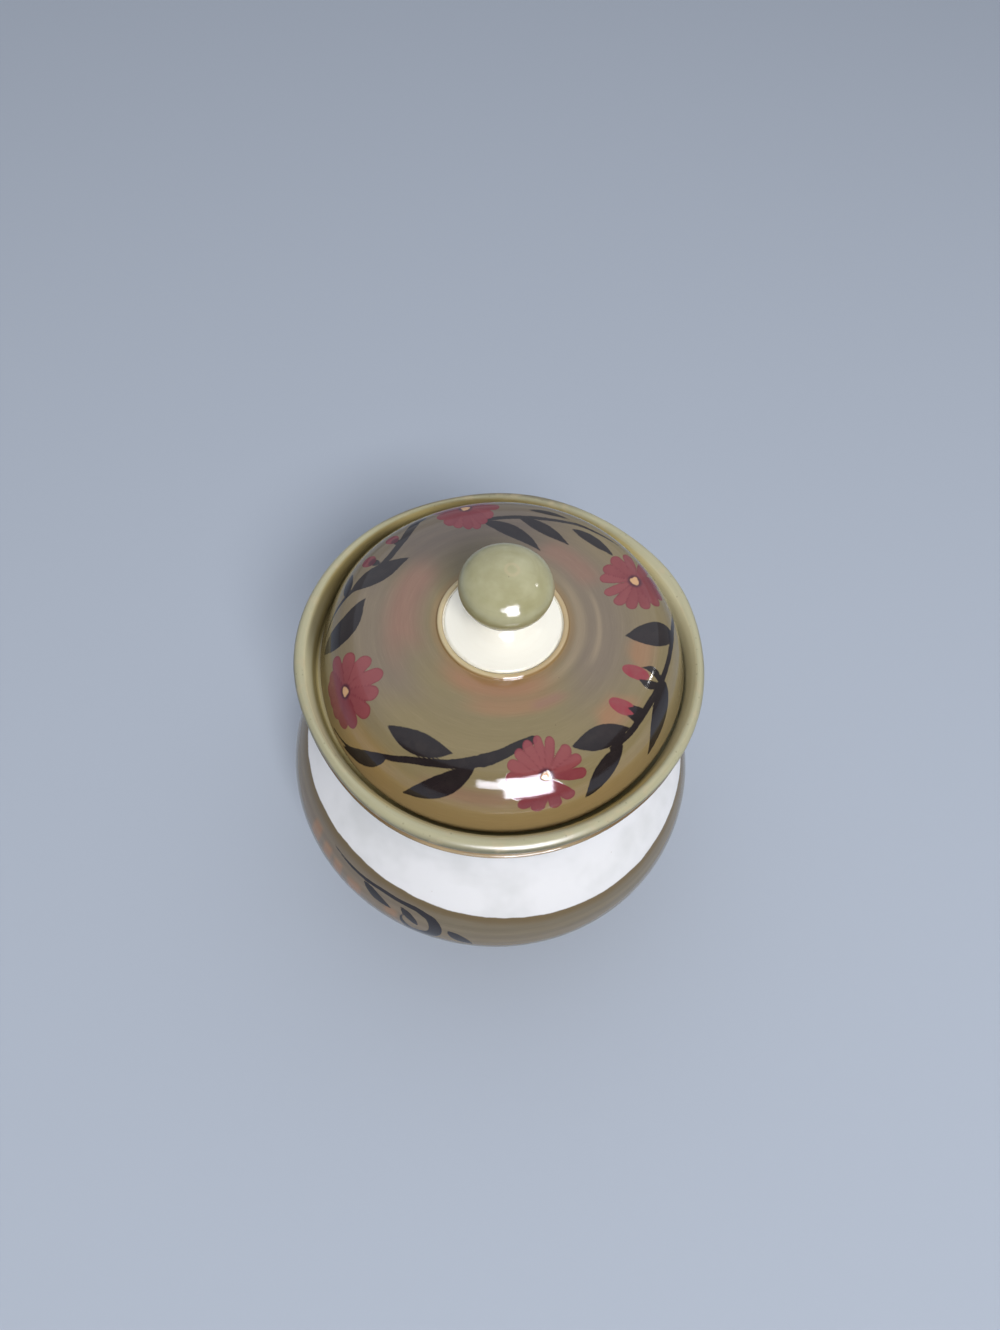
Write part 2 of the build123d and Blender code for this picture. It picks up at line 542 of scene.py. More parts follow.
def washed(ground, layers):
    """A ground colour with washes laid over it in turn, each by its weight at every vertex."""
    colour = np.array(ground)
    for weight, new in layers:
        weight = np.clip(weight, 0, 1)[..., None]
        colour = colour * (1 - weight) + np.array(new) * weight
    return colour


# Node materials

class Nodes:
    """Short calls that add linked nodes to a new material or world."""

    def __init__(self, owner):
        owner.use_nodes = True
        self.owner, self.tree = owner, owner.node_tree

    def feed(self, socket, value):
        if isinstance(value, bpy.types.NodeSocket):
            self.tree.links.new(value, socket)
        else:
            socket.default_value = value

    def node(self, kind, inputs, **settings):
        """A new node with these settings. Each input is fed with a socket or a value."""
        made = self.tree.nodes.new("ShaderNode" + kind)
        for name, value in settings.items():
            setattr(made, name, value)
        for key, value in inputs.items():
            self.feed(made.inputs[key], value)
        return made

    def calc(self, operation, a, b):
        return self.node("Math", {0: a, 1: b}, operation=operation).outputs[0]

    def plus(self, a, b):
        return self.calc("ADD", a, b)

    def times(self, a, b):
        return self.calc("MULTIPLY", a, b)

    def swing(self, noise, size):
        """Noise from 0 to 1 as a move of up to half of size each way."""
        return self.times(self.plus(noise, -0.5), size)

    def attribute(self, name, output="Fac"):
        return self.node("Attribute", {}, attribute_name=name).outputs[output]

    def place(self):
        """Object coordinates in millimetres."""
        metres = self.node("TexCoord", {}).outputs["Object"]
        scale = {0: metres, "Scale": 1 / METRES}
        return self.node("VectorMath", scale, operation="SCALE").outputs[0]

    def noise(self, vector, size, detail, rough=0.55):
        """Noise from 0 to 1 whose lumps are about size millimetres across."""
        inputs = {"Vector": vector, "Scale": 1 / size, "Detail": detail, "Roughness": rough}
        return self.node("TexNoise", inputs).outputs["Fac"]

    def ramp(self, value, low, high, shape="SMOOTHSTEP"):
        """0 at low, 1 at high, and smooth between."""
        inputs = {"Value": value, "From Min": low, "From Max": high}
        return self.node("MapRange", inputs, interpolation_type=shape).outputs["Result"]

    def mix(self, weight, a, b):
        return self.node("Mix", {"Factor": weight, 6: a, 7: b}, data_type="RGBA").outputs[2]

    def specks(self, vector, spacing, size, share):
        """Small round specks: 1 inside a speck. share is how many cells have one."""
        cells = self.node("TexVoronoi", {"Vector": vector, "Scale": 1 / spacing}).outputs
        chance = self.node("SeparateColor", {0: cells["Color"]}).outputs[0]
        dot = self.ramp(cells["Distance"], size / spacing, 0.4 * size / spacing)
        return self.times(dot, self.calc("LESS_THAN", chance, share))

    def painted(self, name, depth_noise, soft=0.22):
        """How far a point lies inside a painted layer, from 0 to 1, with a brushed edge."""
        depth = self.plus(self.attribute(name), depth_noise)
        return self.ramp(depth, -soft, soft)

    def zone(self, name):
        """1 where the named depth is above 0, with an edge 0.6 mm soft."""
        return self.ramp(self.attribute(name), -0.3, 0.3)

    def glaze(self, colour, heights, dry=None, dull=0.05):
        """Clear gloss over the colour. heights are bumps in millimetres."""
        place = self.place()
        worn = self.noise(place, 9.0, 4.0)
        rough = self.plus(dull, self.times(worn, 0.06))
        if dry is not None:
            rough = self.calc("MAXIMUM", rough, self.times(dry, 0.75))
        total = self.times(self.noise(place, 6.0, 2.0), 0.04)
        for value, height in heights:
            total = self.plus(total, self.times(value, height))
        bump = self.node("Bump", {"Distance": METRES, "Strength": 1.0, "Height": total})
        shader = self.tree.nodes["Principled BSDF"].inputs
        self.feed(shader["Base Color"], colour)
        self.feed(shader["Roughness"], rough)
        self.feed(shader["Normal"], bump.outputs["Normal"])
        shader["IOR"].default_value = GLAZE_IOR
        return self.owner


def layered(n, base, grain):
    """Ink leaves, buds, petals and eyes over a washed ground. Gives the colour and the bumps."""
    place = n.place()
    wobble = n.swing(n.noise(place, 2.6, 2.0), 0.5)
    bristle = n.noise(grain, 1.0, 3.0, 0.6)
    cloudy = n.noise(place, 4.0, 3.0)
    ink = n.painted("ink", wobble)
    thin = n.times(n.attribute("ink_thin"), n.ramp(cloudy, 0.25, 0.7))
    ink_colour = n.mix(thin, INK, INK_THIN)
    petal = n.painted("petal", n.times(wobble, 0.7))
    tone = n.ramp(n.plus(n.attribute("petal_tone"), n.swing(cloudy, 0.4)), 0.1, 1.0)
    petal_colour = n.mix(tone, CRIMSON, CRIMSON_LIGHT)
    bud = n.painted("bud", n.times(wobble, 0.7))
    bud_colour = n.mix(n.ramp(cloudy, 0.3, 0.8), BUD_RED, CRIMSON_LIGHT)
    ring = n.times(n.ramp(n.attribute("ring"), -0.4, 1.0), petal)
    eye = n.painted("eye", n.times(wobble, 0.6), 0.3)
    colour = n.mix(n.times(bud, 0.94), base, bud_colour)
    colour = n.mix(n.times(ink, 0.97), colour, ink_colour)
    colour = n.mix(n.times(petal, 0.92), colour, petal_colour)
    colour = n.mix(n.times(ring, 0.8), colour, MAROON)
    colour = n.mix(eye, colour, YOLK)
    heights = [(ink, 0.02), (petal, 0.03), (bud, 0.03), (eye, 0.08), (bristle, 0.015)]
    return colour, heights


def brushed(n, base, grain, strength):
    """Fine bristle lines and small iron specks in a wash."""
    fine = n.noise(grain, 1.0, 4.0, 0.65)
    dark = n.times(n.ramp(fine, 0.5, 0.25), 0.3 * strength)
    light = n.times(n.ramp(fine, 0.5, 0.8), 0.25 * strength)
    colour = n.mix(dark, base, UMBER)
    colour = n.mix(light, colour, BUFF)
    specks = n.specks(n.place(), 5.5, 0.3, 0.12)
    return n.mix(n.times(specks, 0.45), colour, UMBER)


# Lid

def lid_outline():
    """From the middle of the crown out over the dome, round the lip and back inside."""
    dome = [(COLLAR_RADIUS + COLLAR_SIZE, CROWN_HEIGHT), *DOME]
    middle = (LID_RADIUS - LIP_ROUND, LEDGE_HEIGHT + LIP_ROUND)
    lip = arc(middle, (LIP_ROUND, LIP_ROUND), LIP_START, -90, 12)
    down = (math.sin(math.radians(LIP_START)), -math.cos(math.radians(LIP_START)))
    collar = arc((COLLAR_RADIUS, CROWN_HEIGHT), (COLLAR_SIZE, COLLAR_SIZE), 180, 0, 10)
    low = LEDGE_HEIGHT - FLANGE_DEPTH
    hollow_radius, hollow_height = DOME[0][0], DOME[-1][1]
    shelf = [
        lip[-1], (FLANGE_RADIUS, LEDGE_HEIGHT), (FLANGE_RADIUS, low), (FLANGE_BORE, low),
        (FLANGE_BORE, hollow_height),
    ]
    roof = CROWN_HEIGHT - LID_WALL
    reach = (FLANGE_BORE - hollow_radius, roof - hollow_height)
    hollow = arc((hollow_radius, hollow_height), reach, 0, 90, 14)
    return Outline([
        ("crown", [(0, CROWN_HEIGHT), collar[0]], None),
        ("collar", collar, None),
        ("dome", spline([*dome, lip[0]], (1, 0), down, 0.5), 0.62),
        ("lip", lip, None),
        ("seat", rounded(shelf, 1.0), None),
        ("hollow", hollow, None),
        ("roof", [hollow[-1], (0, roof)], None),
    ])


# The lid is not quite round: azimuth, spread in degrees and how far its edge stands out
LID_DENTS = ((-165, 26, -1.2), (5, 26, 2.1), (50, 26, -0.4), (100, 30, 0.8), (150, 26, 1.2))

# Its shoulder is fuller at the back and the right: azimuth, spread and how much higher
LID_LIFTS = ((45, 50, 5.3), (160, 45, 2.0))


def lid_wash(t):
    """Washes brushed on as the lid turned: olive, with gold, taupe, peach and rose patches. A darker
    taupe patch behind the knob is painted shade, a thin pale arc right of the knob is a painted
    highlight, and the collar's lighter side is painted light.
    """
    radius, azimuth = t.radius, t.azimuth
    bristle, broad = streaks(t, 11, 1.3), streaks(t, 12, 0.35)
    # Middle azimuth and half span, middle radius and half width, colour and strength
    patches = (
        (15, 80, 38, 24, TAUPE, 0.8),
        (-170, 48, 48, 26, TAUPE, 0.7),
        # Painted shade: this darker taupe patch lies behind the knob, where its shadow falls
        (112, 66, 49, 25, TAUPE_PAINTED_SHADE, 0.85),
        (-90, 85, 71, 7, GOLD, 0.6),
        (-135, 20, 68.5, 6, GOLD, 0.9),
        (-90, 58, 29, 7.5, PEACH, 0.95),
        (-78, 34, 36.5, 5, PEACH, 0.7),
        (-60, 15, 37, 3.4, ROSE, 0.7),
        (176, 44, 38.5, 11, ROSE, 0.9),
        (50, 26, 40, 8.5, ROSE, 0.75),
        (-7, 12, 53, 8, PEACH, 0.75),
        (-37, 12, 54, 8, PEACH, 0.85),
        (-96, 20, 66.5, 3.2, ROSE, 0.6),
        (0, 75, 30, 3.5, BUFF, 0.2),
        # Painted highlight: a thin pale arc right of the knob, where a throwing ring catches the light
        (6, 34, 37, 1.6, BUFF, 0.22),
    )
    layers = []
    for centre, span, at, half, new, strength in patches:
        around = ramp(span - apart(azimuth, centre) + 2.0 * broad, 0, 0.6 * span)
        across = ramp(half - np.abs(radius - at) + 0.08 * bristle + 0.15 * broad, 0, 0.9 * half)
        layers.append((strength * around * across, new))
    off_collar = np.abs(radius - COLLAR_RADIUS)
    return washed(OLIVE, [
        *layers,
        (0.025 * (1 + broad), TAUPE),
        (0.012 * (1 + bristle), BUFF),
        (0.5 * ramp(radius, 29.0, 26.0), COLLAR_LINE),
        (0.7 * ramp(off_collar, 1.9, 1.1), COLLAR_LINE),
        (ramp(off_collar, 1.1, 0.7), COLLAR_BEIGE),
        # Painted light: the collar's ring is lighter on its left side
        (beside(azimuth, -160, 100, 50) * ramp(off_collar, 1.1, 0.7), COLLAR_PAINTED_LIGHT),
        (ramp(radius, KNOB_FOOT_RADIUS + 0.5, KNOB_FOOT_RADIUS + 0.1), CREAM),
    ])


# Petal headings round each flower, as brushed: no two gaps are quite the same
FRONT_PETALS = (157, 181, 203, 224, 245, 266, 297, 320, 342, 10, 35, 76, 101, 124)
LEFT_PETALS = (11, 40, 72, 108, 141, 173, 208, 241, 275, 303, 325, 347)
RIGHT_PETALS = (68, 98, 124, 148, 188, 219, 243, 270, 298, 326, 355, 30)
BACK_PETALS = (5, 40, 70, 100, 125, 146, 170, 190, 210, 233, 262, 295, 330)


def paint_lid(canvas):
    p = Painting(canvas, 5)
    # Front left vine
    p.stem(
        [(-147, 73.4), (-143, 73.0), (-138.5, 72.2), (-133, 70), (-127, 67.2), (-122, 65.2),
         (-117, 63), (-110, 60.8), (-103, 58.8), (-98.5, 57.4), (-95.5, 56.4)],
        (0.3, 0.5, 0.7, 0.9, 1.0, 1.1, 1.3, 1.4, 1.5, 1.7, 2.2),
    )
    p.stem(
        [(-97, 57.2), (-94.5, 56.2), (-90, 54.6), (-85, 52.6), (-79.5, 50.4), (-73, 48.8)],
        (1.4, 2.4, 2.1, 1.9, 1.8, 1.6),
    )
    p.leaf((-103.5, 55.4), (-116.4, 57.2), (-130.5, 58.8), 4.2, 0.4, 1.0)
    p.leaf((-94.5, 56.8), (-105.5, 66.4), (-116, 71.4), 4.3, 0.2, 0.95)
    p.leaf((-124, 66.6), (-131, 70.8), (-141, 73.6), 2.9, 0.1)
    # Front right vine, with two buds
    p.stem(
        [(17, 69.6), (12, 67.6), (7.5, 65.8), (2.5, 64.8), (-2.5, 64), (-8, 63.4), (-13.5, 63),
         (-19.5, 62.6), (-24.5, 62.2), (-31, 62.3), (-38, 62.6), (-46, 62.4)],
        (0.9, 1.1, 1.2, 1.2, 1.2, 1.2, 1.4, 1.5, 1.5, 1.4, 1.3, 1.1),
    )
    p.leaf((-36.5, 61.2), (-47.5, 57.4), (-59.5, 55), 4.4, 0.3, 0.95)
    p.leaf((-41.5, 63.4), (-50.2, 66), (-60, 70.4), 4.3, 0.2, 0.95)
    p.leaf((-13.5, 64), (-22, 66.6), (-35, 71.6), 5.0, 0.1, 0.8)
    p.leaf((5, 65), (1.5, 55.8), (-1, 46.6), 5.0, 0.2, 0.8)
    p.bud_on((-34.5, 49.8), (-33, 54.6), (-30.5, 59.6), 2.9, (
        ((-28, 62.8), (-30, 60), (-31.8, 56.4), 1.5),
        ((-28, 63), (-31.8, 61.6), (-34.2, 58), 1.5),
        ((-27.5, 62.2), (-29.2, 59.8), (-29.7, 57.2), 0.9),
        ((-27.8, 62.6), (-30.6, 61.2), (-33.2, 59.4), 1.7),
    ))
    p.bud_on((-17.5, 48), (-17, 52.6), (-16, 58.2), 2.8, (
        ((-15.4, 62.8), (-12.8, 58.6), (-13.8, 54.2), 1.5),
        ((-16.2, 62.6), (-18.8, 59), (-19, 54.6), 1.7),
    ))
    # Back vine
    p.stem(
        [(104, 50.6), (96, 51.5), (87.5, 52.4), (77, 53.8), (68, 55.7), (61.5, 57.6), (56, 58.6),
         (49.5, 60), (44, 61.4)],
        (0.9, 1.0, 1.0, 0.9, 0.8, 0.8, 0.7, 0.6, 0.4),
    )
    p.leaf((105, 50.3), (90, 44.6), (70, 37), 3.2, 0.2)
    p.leaf((87, 52), (73.5, 48.7), (58.5, 46.2), 2.6, 0.2)
    p.leaf((63, 54), (51.5, 54.4), (39.5, 55.2), 2.2, 0.15)
    p.leaf((84, 57.6), (76, 58.1), (66, 58.4), 1.3, 0.2)
    # Left back vine, with two buds
    p.stem(
        [(-176, 71.6), (-178, 69.6), (179, 68), (175, 65.2), (171.5, 62.2), (167, 58.4),
         (160, 55.6), (154, 54.3), (146, 54.8), (139.5, 56.4), (133.5, 59.4), (129, 61.6), (126, 61.8)],
        (0.5, 0.7, 0.8, 0.9, 1.0, 1.1, 1.1, 1.2, 1.2, 1.3, 1.7, 1.9, 0.8),
    )
    p.leaf((-171, 71.2), (-174.5, 60.2), (173, 54), 5.4, 0.2)
    p.leaf((171, 61.4), (160, 53.4), (145.5, 47.6), 4.1, 0.3)
    p.leaf((172.5, 62.8), (167, 64), (161, 65), 2.5, 0.2)
    p.round_bud(155.8, 60.6, 3.2)
    p.round_bud(142.6, 60.0, 2.9)
    p.flower(-71, 61.4, 14.6, FRONT_PETALS, 0, 0, 2.2)
    p.flower(-151, 64.8, 15.2, LEFT_PETALS, 185, 0.14, 3.2)
    p.flower(26, 56, 13.6, RIGHT_PETALS, 180, 0.06, 2.4)
    p.flower(109.5, 60, 14.2, BACK_PETALS, 90, 0, painted_light=0.1)
    return p


def lid_material():
    n = Nodes(bpy.data.materials.new("lid_glaze"))
    grain = n.attribute("grain", "Vector")
    ground = brushed(n, n.attribute("wash", "Color"), grain, 0.3)
    colour, heights = layered(n, ground, grain)
    bare = n.zone("bare")
    colour = n.mix(n.zone("under"), colour, CREAM)
    colour = n.mix(bare, colour, CLAY)
    return n.glaze(colour, heights, dry=bare)


def make_lid():
    t = Turned(lid_outline(), LID_TURNS)
    start = t.outline.start
    dome, seat = start["dome"], start["seat"]
    attributes = paint_lid(Canvas(t, "radius", dome, start["lip"])).layers
    attributes["wash"] = lid_wash(t)
    attributes["grain"] = t.grain(1.7, 0.10)
    attributes["under"] = t.run - start["hollow"]
    bare_from, bare_to = seat + 1.0, start["hollow"] - 8.0
    attributes["bare"] = np.minimum(t.run - bare_from, bare_to - t.run)
    # Throwing rings, dents and lifts, which fade out at the collar and stop at the seat
    outside = t.run <= seat + 0.1
    rings = 0.008 * streaks(t, 21, 0.9, 14) * ramp(t.run, dome, dome + 12)
    lift = dents(t.azimuth, LID_LIFTS) * ramp(t.radius, 40, 64) * ramp(t.height, 157, 168)
    t.height += (rings + lift) * outside
    t.radius += dents(t.azimuth, LID_DENTS) * ramp(t.radius, 45, 72) * outside
    piece = t.mesh("lid_painted", attributes, lid_material())
    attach(piece, "lid")
    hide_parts("lid")


# Knob

def knob_outline():
    """From the middle of the foot out to its edge, up the flared stem and over the ball."""
    foot_top = CROWN_HEIGHT + KNOB_FOOT_EDGE
    start = -math.degrees(math.acos(STEM_RADIUS / BALL_RADIUS)) + 6
    under = arc((0, BALL_HEIGHT), (BALL_RADIUS, BALL_LOW_HALF), start, 0, 34)
    over = arc((0, BALL_HEIGHT), (BALL_RADIUS, BALL_HALF_HEIGHT), 0, 90, 60)
    flare = spline(
        [(KNOB_FOOT_RADIUS - 0.6, foot_top), (16.2, CROWN_HEIGHT + 2.6), (10.6, CROWN_HEIGHT + 6.4),
         (8.9, CROWN_HEIGHT + 9.4), under[0]],
        (-1, 0.12), (math.cos(math.radians(38)), math.sin(math.radians(38))), 0.3,
    )
    return Outline([
        ("land", [(0, CROWN_HEIGHT), (KNOB_FOOT_RADIUS, CROWN_HEIGHT)], None),
        ("edge", [(KNOB_FOOT_RADIUS, CROWN_HEIGHT), flare[0]], 0.4),
        ("flare", flare, 0.5),
        ("ball", np.vstack([under, over[1:]]), 0.5),
    ])


def knob_material():
    n = Nodes(bpy.data.materials.new("knob_glaze"))
    place = n.place()
    grain = n.attribute("grain", "Vector")
    runny = n.noise(place, 2.2, 3.0)
    above = n.attribute("ball")
    edge = n.plus(above, n.swing(runny, 2.4))
    sage = n.mix(n.ramp(n.noise(place, 11.0, 3.0), 0.3, 0.75), SAGE, SAGE_PALE)
    sage = brushed(n, sage, grain, 0.2)
    sage = n.mix(n.times(n.ramp(above, 13.0, 4.0), 0.75), sage, SAGE_DARK)
    flecks = n.specks(place, 1.5, 0.8, 0.8)
    speckled = n.times(flecks, n.ramp(above, 8.0, 2.5))
    sage = n.mix(n.times(speckled, 0.7), sage, UMBER)
    sage = n.mix(n.times(n.ramp(n.attribute("curl"), 0.9, 0.2), 0.3), sage, BUFF)
    cream = n.mix(n.times(n.noise(grain, 1.2, 3.0), 0.1), CREAM, BUFF)
    colour = n.mix(n.ramp(edge, -0.35, 0.35), cream, sage)
    return n.glaze(colour, [(n.noise(grain, 1.0, 3.0), 0.015)], dull=0.11)


def make_knob():
    t = Turned(knob_outline(), KNOB_TURNS)
    flare = t.outline.start["flare"]
    hand = ramp(t.run, flare, flare + 8)
    wave = 0.12 * np.cos(2 * t.azimuth + 0.6) + 0.08 * np.cos(3 * t.azimuth - 1.0)
    fade = ramp(t.radius, 0, 6)
    t.radius += (wave + 0.03 * streaks(t, 31, 1.1, 10)) * hand * fade
    x, y = t.across()
    # A curl of thin glaze on top, a little off the middle
    curl_x, curl_y = x - 1.2, y + 1.5
    curl = np.hypot(curl_x, curl_y) - 2.2 - 0.5 * np.cos(np.arctan2(curl_y, curl_x) - 0.8)
    attributes = {
        "ball": t.height - (BALL_HEIGHT - BALL_GLAZE_DEPTH),
        "grain": t.grain(1.4, 0.12),
        "curl": np.where(t.height > BALL_HEIGHT, np.abs(curl), 9.0),
    }
    piece = t.mesh("knob_glazed", attributes, knob_material())
    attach(piece, "lid")
    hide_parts("lid_knob")


# Jar

# Dents of the rolled rim and of the wall inside it: azimuth, spread and how far out
RIM_DENTS = ((-142, 24, -2.2), (-45, 30, -1.4), (112, 18, -1.1), (30, 16, 1.4), (-90, 30, -0.4))
WALL_DENTS = ((5, 28, 1.8), (135, 44, 1.6))


def jar_outline():
    """From the axis under the base, over the foot, up the outside, over the rim and back inside."""
    foot = rounded([
        (0, FOOT_RECESS), (FOOT_RADIUS - FOOT_RING, FOOT_RECESS), (FOOT_RADIUS - FOOT_RING, 0),
        (FOOT_RADIUS, 0), (FOOT_RADIUS, FOOT_HEIGHT),
    ], 1.5)
    bead_foot = (BEAD_TIP[0] - BEAD_SIZE, BEAD_TIP[1] - BEAD_SIZE)
    outside = spline(
        [(FOOT_RADIUS, FOOT_HEIGHT), LOW_BELLY, (BELLY_RADIUS, BELLY_HEIGHT), BAND, SHOULDER,
         (NECK_RADIUS, NECK_HEIGHT), UNDER_RIM, bead_foot],
        (1, 1), (1, 1), 0.4,
    )
    painted, plain = np.searchsorted(outside[:, 1], PAINTED_HEIGHTS)
    bead = arc((bead_foot[0], BEAD_TIP[1]), (BEAD_SIZE, BEAD_SIZE), -90, 90, 7)
    roll = arc(ROLL_MIDDLE, (ROLL_RADIUS, ROLL_RADIUS), -60, 90, 22)
    slope = spline([roll[-1], *RIM_SLOPE], (-1, 0), (0, -1), 0.6)
    groove = [bead[-1], (bead[-1][0] - 1.2, 156.6), roll[0]]
    ledge = rounded([
        slope[-1], (GALLERY_RADIUS, LEDGE_HEIGHT), (THROAT_RADIUS, LEDGE_HEIGHT),
        (THROAT_RADIUS, NECK_HEIGHT),
    ], 1.0)
    inside = spline(
        [(THROAT_RADIUS, NECK_HEIGHT), INSIDE_SHOULDER, INSIDE_BAND,
         (BELLY_RADIUS - WALL, BELLY_HEIGHT), INSIDE_LOW,
         (FOOT_RADIUS - WALL, FOOT_HEIGHT + WALL), (FLOOR_RADIUS, BASE_HEIGHT)],
        (0, -1), (-1, 0), 1.0,
    )
    return Outline([
        ("foot", foot, None),
        ("outside", outside[:painted + 1], 2.6),
        ("belly", outside[painted:plain + 1], 1.15),
        ("neck", outside[plain:], 2.3),
        ("bead", bead, None),
        ("groove", groove, 0.6),
        ("roll", roll, None),
        ("slope", slope, None),
        ("ledge", ledge, None),
        ("inside", inside, 9.0),
        ("floor", [inside[-1], (0, BASE_HEIGHT)], None),
    ])


def jar_wash(t):
    """The belly's grey-brown washes, and the sage rim that darkens to its inside, with painted light
    and painted shade on the rim.
    """
    start, azimuth, height = t.outline.start, t.azimuth, t.height
    bristle, broad = streaks(t, 41, 1.2), streaks(t, 42, 0.3)
    # Middle azimuth and half span, middle height and half width, colour and strength
    patches = (
        (-130, 36, 66, 30, TAUPE, 0.55),
        (-143.8, 2.6, 77, 8, PEACH, 0.95),
        (-137.6, 2.2, 75, 7, PEACH, 0.95),
        (-132.6, 2, 72, 7, PEACH, 0.95),
        (-126, 3, 70, 6.5, PEACH, 0.95),
        (-113.5, 2.4, 72, 4, PEACH, 0.7),
        (-70, 22, 52, 8, PEACH, 0.5),
        (10, 30, 55, 10, ROSE, 0.6),
        (75, 24, 66, 9, PEACH, 0.7),
        (130, 26, 52, 11, ROSE, 0.6),
        (-100, 40, 34, 9, ROSE, 0.5),
        (160, 30, 74, 6, GOLD, 0.6),
        (-30, 34, 46, 9, GOLD, 0.6),
        (20, 40, 28, 9, OLIVE, 0.7),
        (-160, 40, 42, 12, OLIVE, 0.7),
    )
    layers = []
    for centre, span, at, half, new, strength in patches:
        around = ramp(span - apart(azimuth, centre) + 0.03 * span * broad, 0, 0.55 * span)
        across = ramp(half - np.abs(height - at) + 0.2 * bristle + 0.3 * broad, 0, 0.6 * half)
        layers.append((strength * around * across, new))
    on_bead, on_roll, inward = (t.run - start[name] for name in ("bead", "roll", "slope"))
    # Painted shade: the rim's crest is darker round the back
    back_crest_shade = beside(azimuth, 102, 44, 20) * ramp(on_roll, 0.8, 2.5) * ramp(inward, 2.0, -1.0)
    layers += [
        (0.045 * (1 + broad), GOLD),
        (0.025 * (1 + bristle), BUFF),
        (ramp(on_bead, -1.4, -0.9), RIM_TAN),
        (beside(azimuth, -86, 34, 14) * ramp(on_bead, -0.5, 0.1), BUFF),
        (ramp(t.run - start["groove"], -0.3, 0.3), RIM_TAN),
        (ramp(on_roll, 0.3, 1.0), RIM_FLANK),
        (ramp(on_roll + 0.3 * bristle, 4.6, 6.6), RIM_PALE),
        # Painted light: the crest is paler at the right
        (0.12 * beside(azimuth, 22, 34, 10) * ramp(on_roll, 4.6, 6.6), RIM_PAINTED_LIGHT),
        (0.7 * back_crest_shade, SAGE_DEEP),
        (ramp(inward + 0.3 * broad, 1.4, 3.0), RIM_GOLD),
        (ramp(inward + 0.3 * broad, 3.6, 7.0), SAGE_INNER),
    ]
    # Painted light inside the rim makes the glaze paler at the right, the left and the front: azimuth,
    # how far to each side and down, and strength. Round the back, painted shade makes it deeper
    painted_light_places = ((2, 50, 15, 0.95), (-158, 46, 8.5, 1), (-95, 36, 7, 0.7))
    for centre, spread, depth, strength in painted_light_places:
        painted_light = beside(azimuth, centre, spread, 0.4 * spread) * ramp(inward, 0.8, 2.2)
        layers.append((strength * painted_light * ramp(inward, depth, depth - 2.5), RIM_PAINTED_LIGHT))
    layers += [
        # Painted shade inside the rim, round the back left and the back
        (0.7 * beside(azimuth, 158, 38, 18) * ramp(inward, 1.0, 4.0), SAGE_DEEP),
        (0.45 * beside(azimuth, 85, 44, 20) * ramp(inward, 0.3, 2.5), SAGE_DEEP),
    ]
    return washed(BELLY_WASH, layers)


def paint_jar(canvas):
    p = Painting(canvas, 9)
    # Upper vine, which curls round one leaf
    p.stem(
        [(-136, 84.2), (-134, 83.5), (-129.5, 82.9), (-123.8, 82.7), (-117.2, 83.2), (-111, 82.8),
         (-106.4, 82.4), (-102.6, 80)],
        (0.4, 0.7, 0.9, 1.0, 1.1, 1.2, 1.4, 1.9),
    )
    p.stem(
        [(-104.6, 82), (-101.8, 78.8), (-100.6, 73.6), (-101.2, 68), (-104, 64.8), (-107.6, 64.8),
         (-109.8, 69), (-110.6, 75)],
        (1.2, 2.6, 3.1, 2.9, 2.3, 1.7, 1.1, 0.4),
    )
    p.leaf((-123.4, 81.4), (-118.8, 77.6), (-113, 74.8), 2.6, 0.2)
    p.leaf((-111, 79.8), (-107.6, 75), (-105, 70.2), 2.3, 0.3)
    p.leaf((-97.4, 74.6), (-94.6, 70.4), (-90, 64.6), 2.9, 0.2)
    # Lower vine, below what shows from above, and its run round the back
    for turn in (20, 80, 140):
        canvas.turn = turn
        p.stem(
            [(-40, 58), (-30, 64), (-20, 67), (-8, 65), (4, 59), (16, 55), (28, 57)],
            (0.5, 1.1, 1.4, 1.3, 1.4, 1.1, 0.5),
        )
        p.leaf((-24, 66), (-19, 72), (-11, 76), 4.2, 0.6)
        p.leaf((-28, 64), (-22, 58), (-14, 53), 4.0, 0.3)
        p.leaf((-2, 62), (3, 69), (12, 73), 4.2, 0.5)
        p.leaf((4, 59), (7, 52), (15, 46), 4.0, 0.4)
        p.bud_on((24, 70), (21, 65), (18.4, 60), 3.1, (
            ((16, 55.5), (15.4, 60), (17.6, 64.4), 1.5),
            ((16.4, 55.5), (19.6, 58.4), (21.4, 62), 1.5),
        ))
        p.flower(36, 59, 15.5, BACK_PETALS, 0, 0)
    return p


def jar_material():
    n = Nodes(bpy.data.materials.new("jar_glaze"))
    grain, place = n.attribute("grain", "Vector"), n.place()
    ground = brushed(n, n.attribute("wash", "Color"), grain, 0.3)
    colour, heights = layered(n, ground, grain)
    # The rim's glaze is mottled, with dark green specks on its outside
    rim = n.ramp(n.attribute("rim"), 0.0, 1.5)
    mottle = n.times(n.ramp(n.noise(place, 6.0, 3.0), 0.5, 0.75), rim)
    colour = n.mix(n.times(mottle, 0.35), colour, BUFF)
    green = n.times(n.specks(place, 2.4, 0.5, 0.3), rim)
    colour = n.mix(n.times(green, 0.3), colour, SAGE_DEEP)
    neck = n.plus(n.attribute("cream"), n.swing(n.noise(place, 14.0, 4.0), 2.2))
    golden = n.ramp(neck, -5.5, -1.5)
    colour = n.mix(n.times(golden, 0.75), colour, BELLY_EDGE)
    cloudy = n.ramp(n.noise(place, 30.0, 3.0), 0.42, 0.75)
    white = n.mix(n.times(cloudy, 0.5), NECK_WHITE, NECK_CLOUD)
    specks = n.specks(place, 7.0, 0.35, 0.15)
    white = n.mix(n.times(specks, 0.4), white, COLLAR_LINE)
    colour = n.mix(n.ramp(neck, -0.3, 0.3), colour, white)
    bare = n.zone("bare")
    clay = n.mix(n.noise(place, 1.4, 5.0, 0.7), CLAY, BUFF)
    colour = n.mix(bare, colour, clay)
    dull = n.plus(0.05, n.times(rim, 0.22))
    return n.glaze(colour, heights, dry=bare, dull=dull)


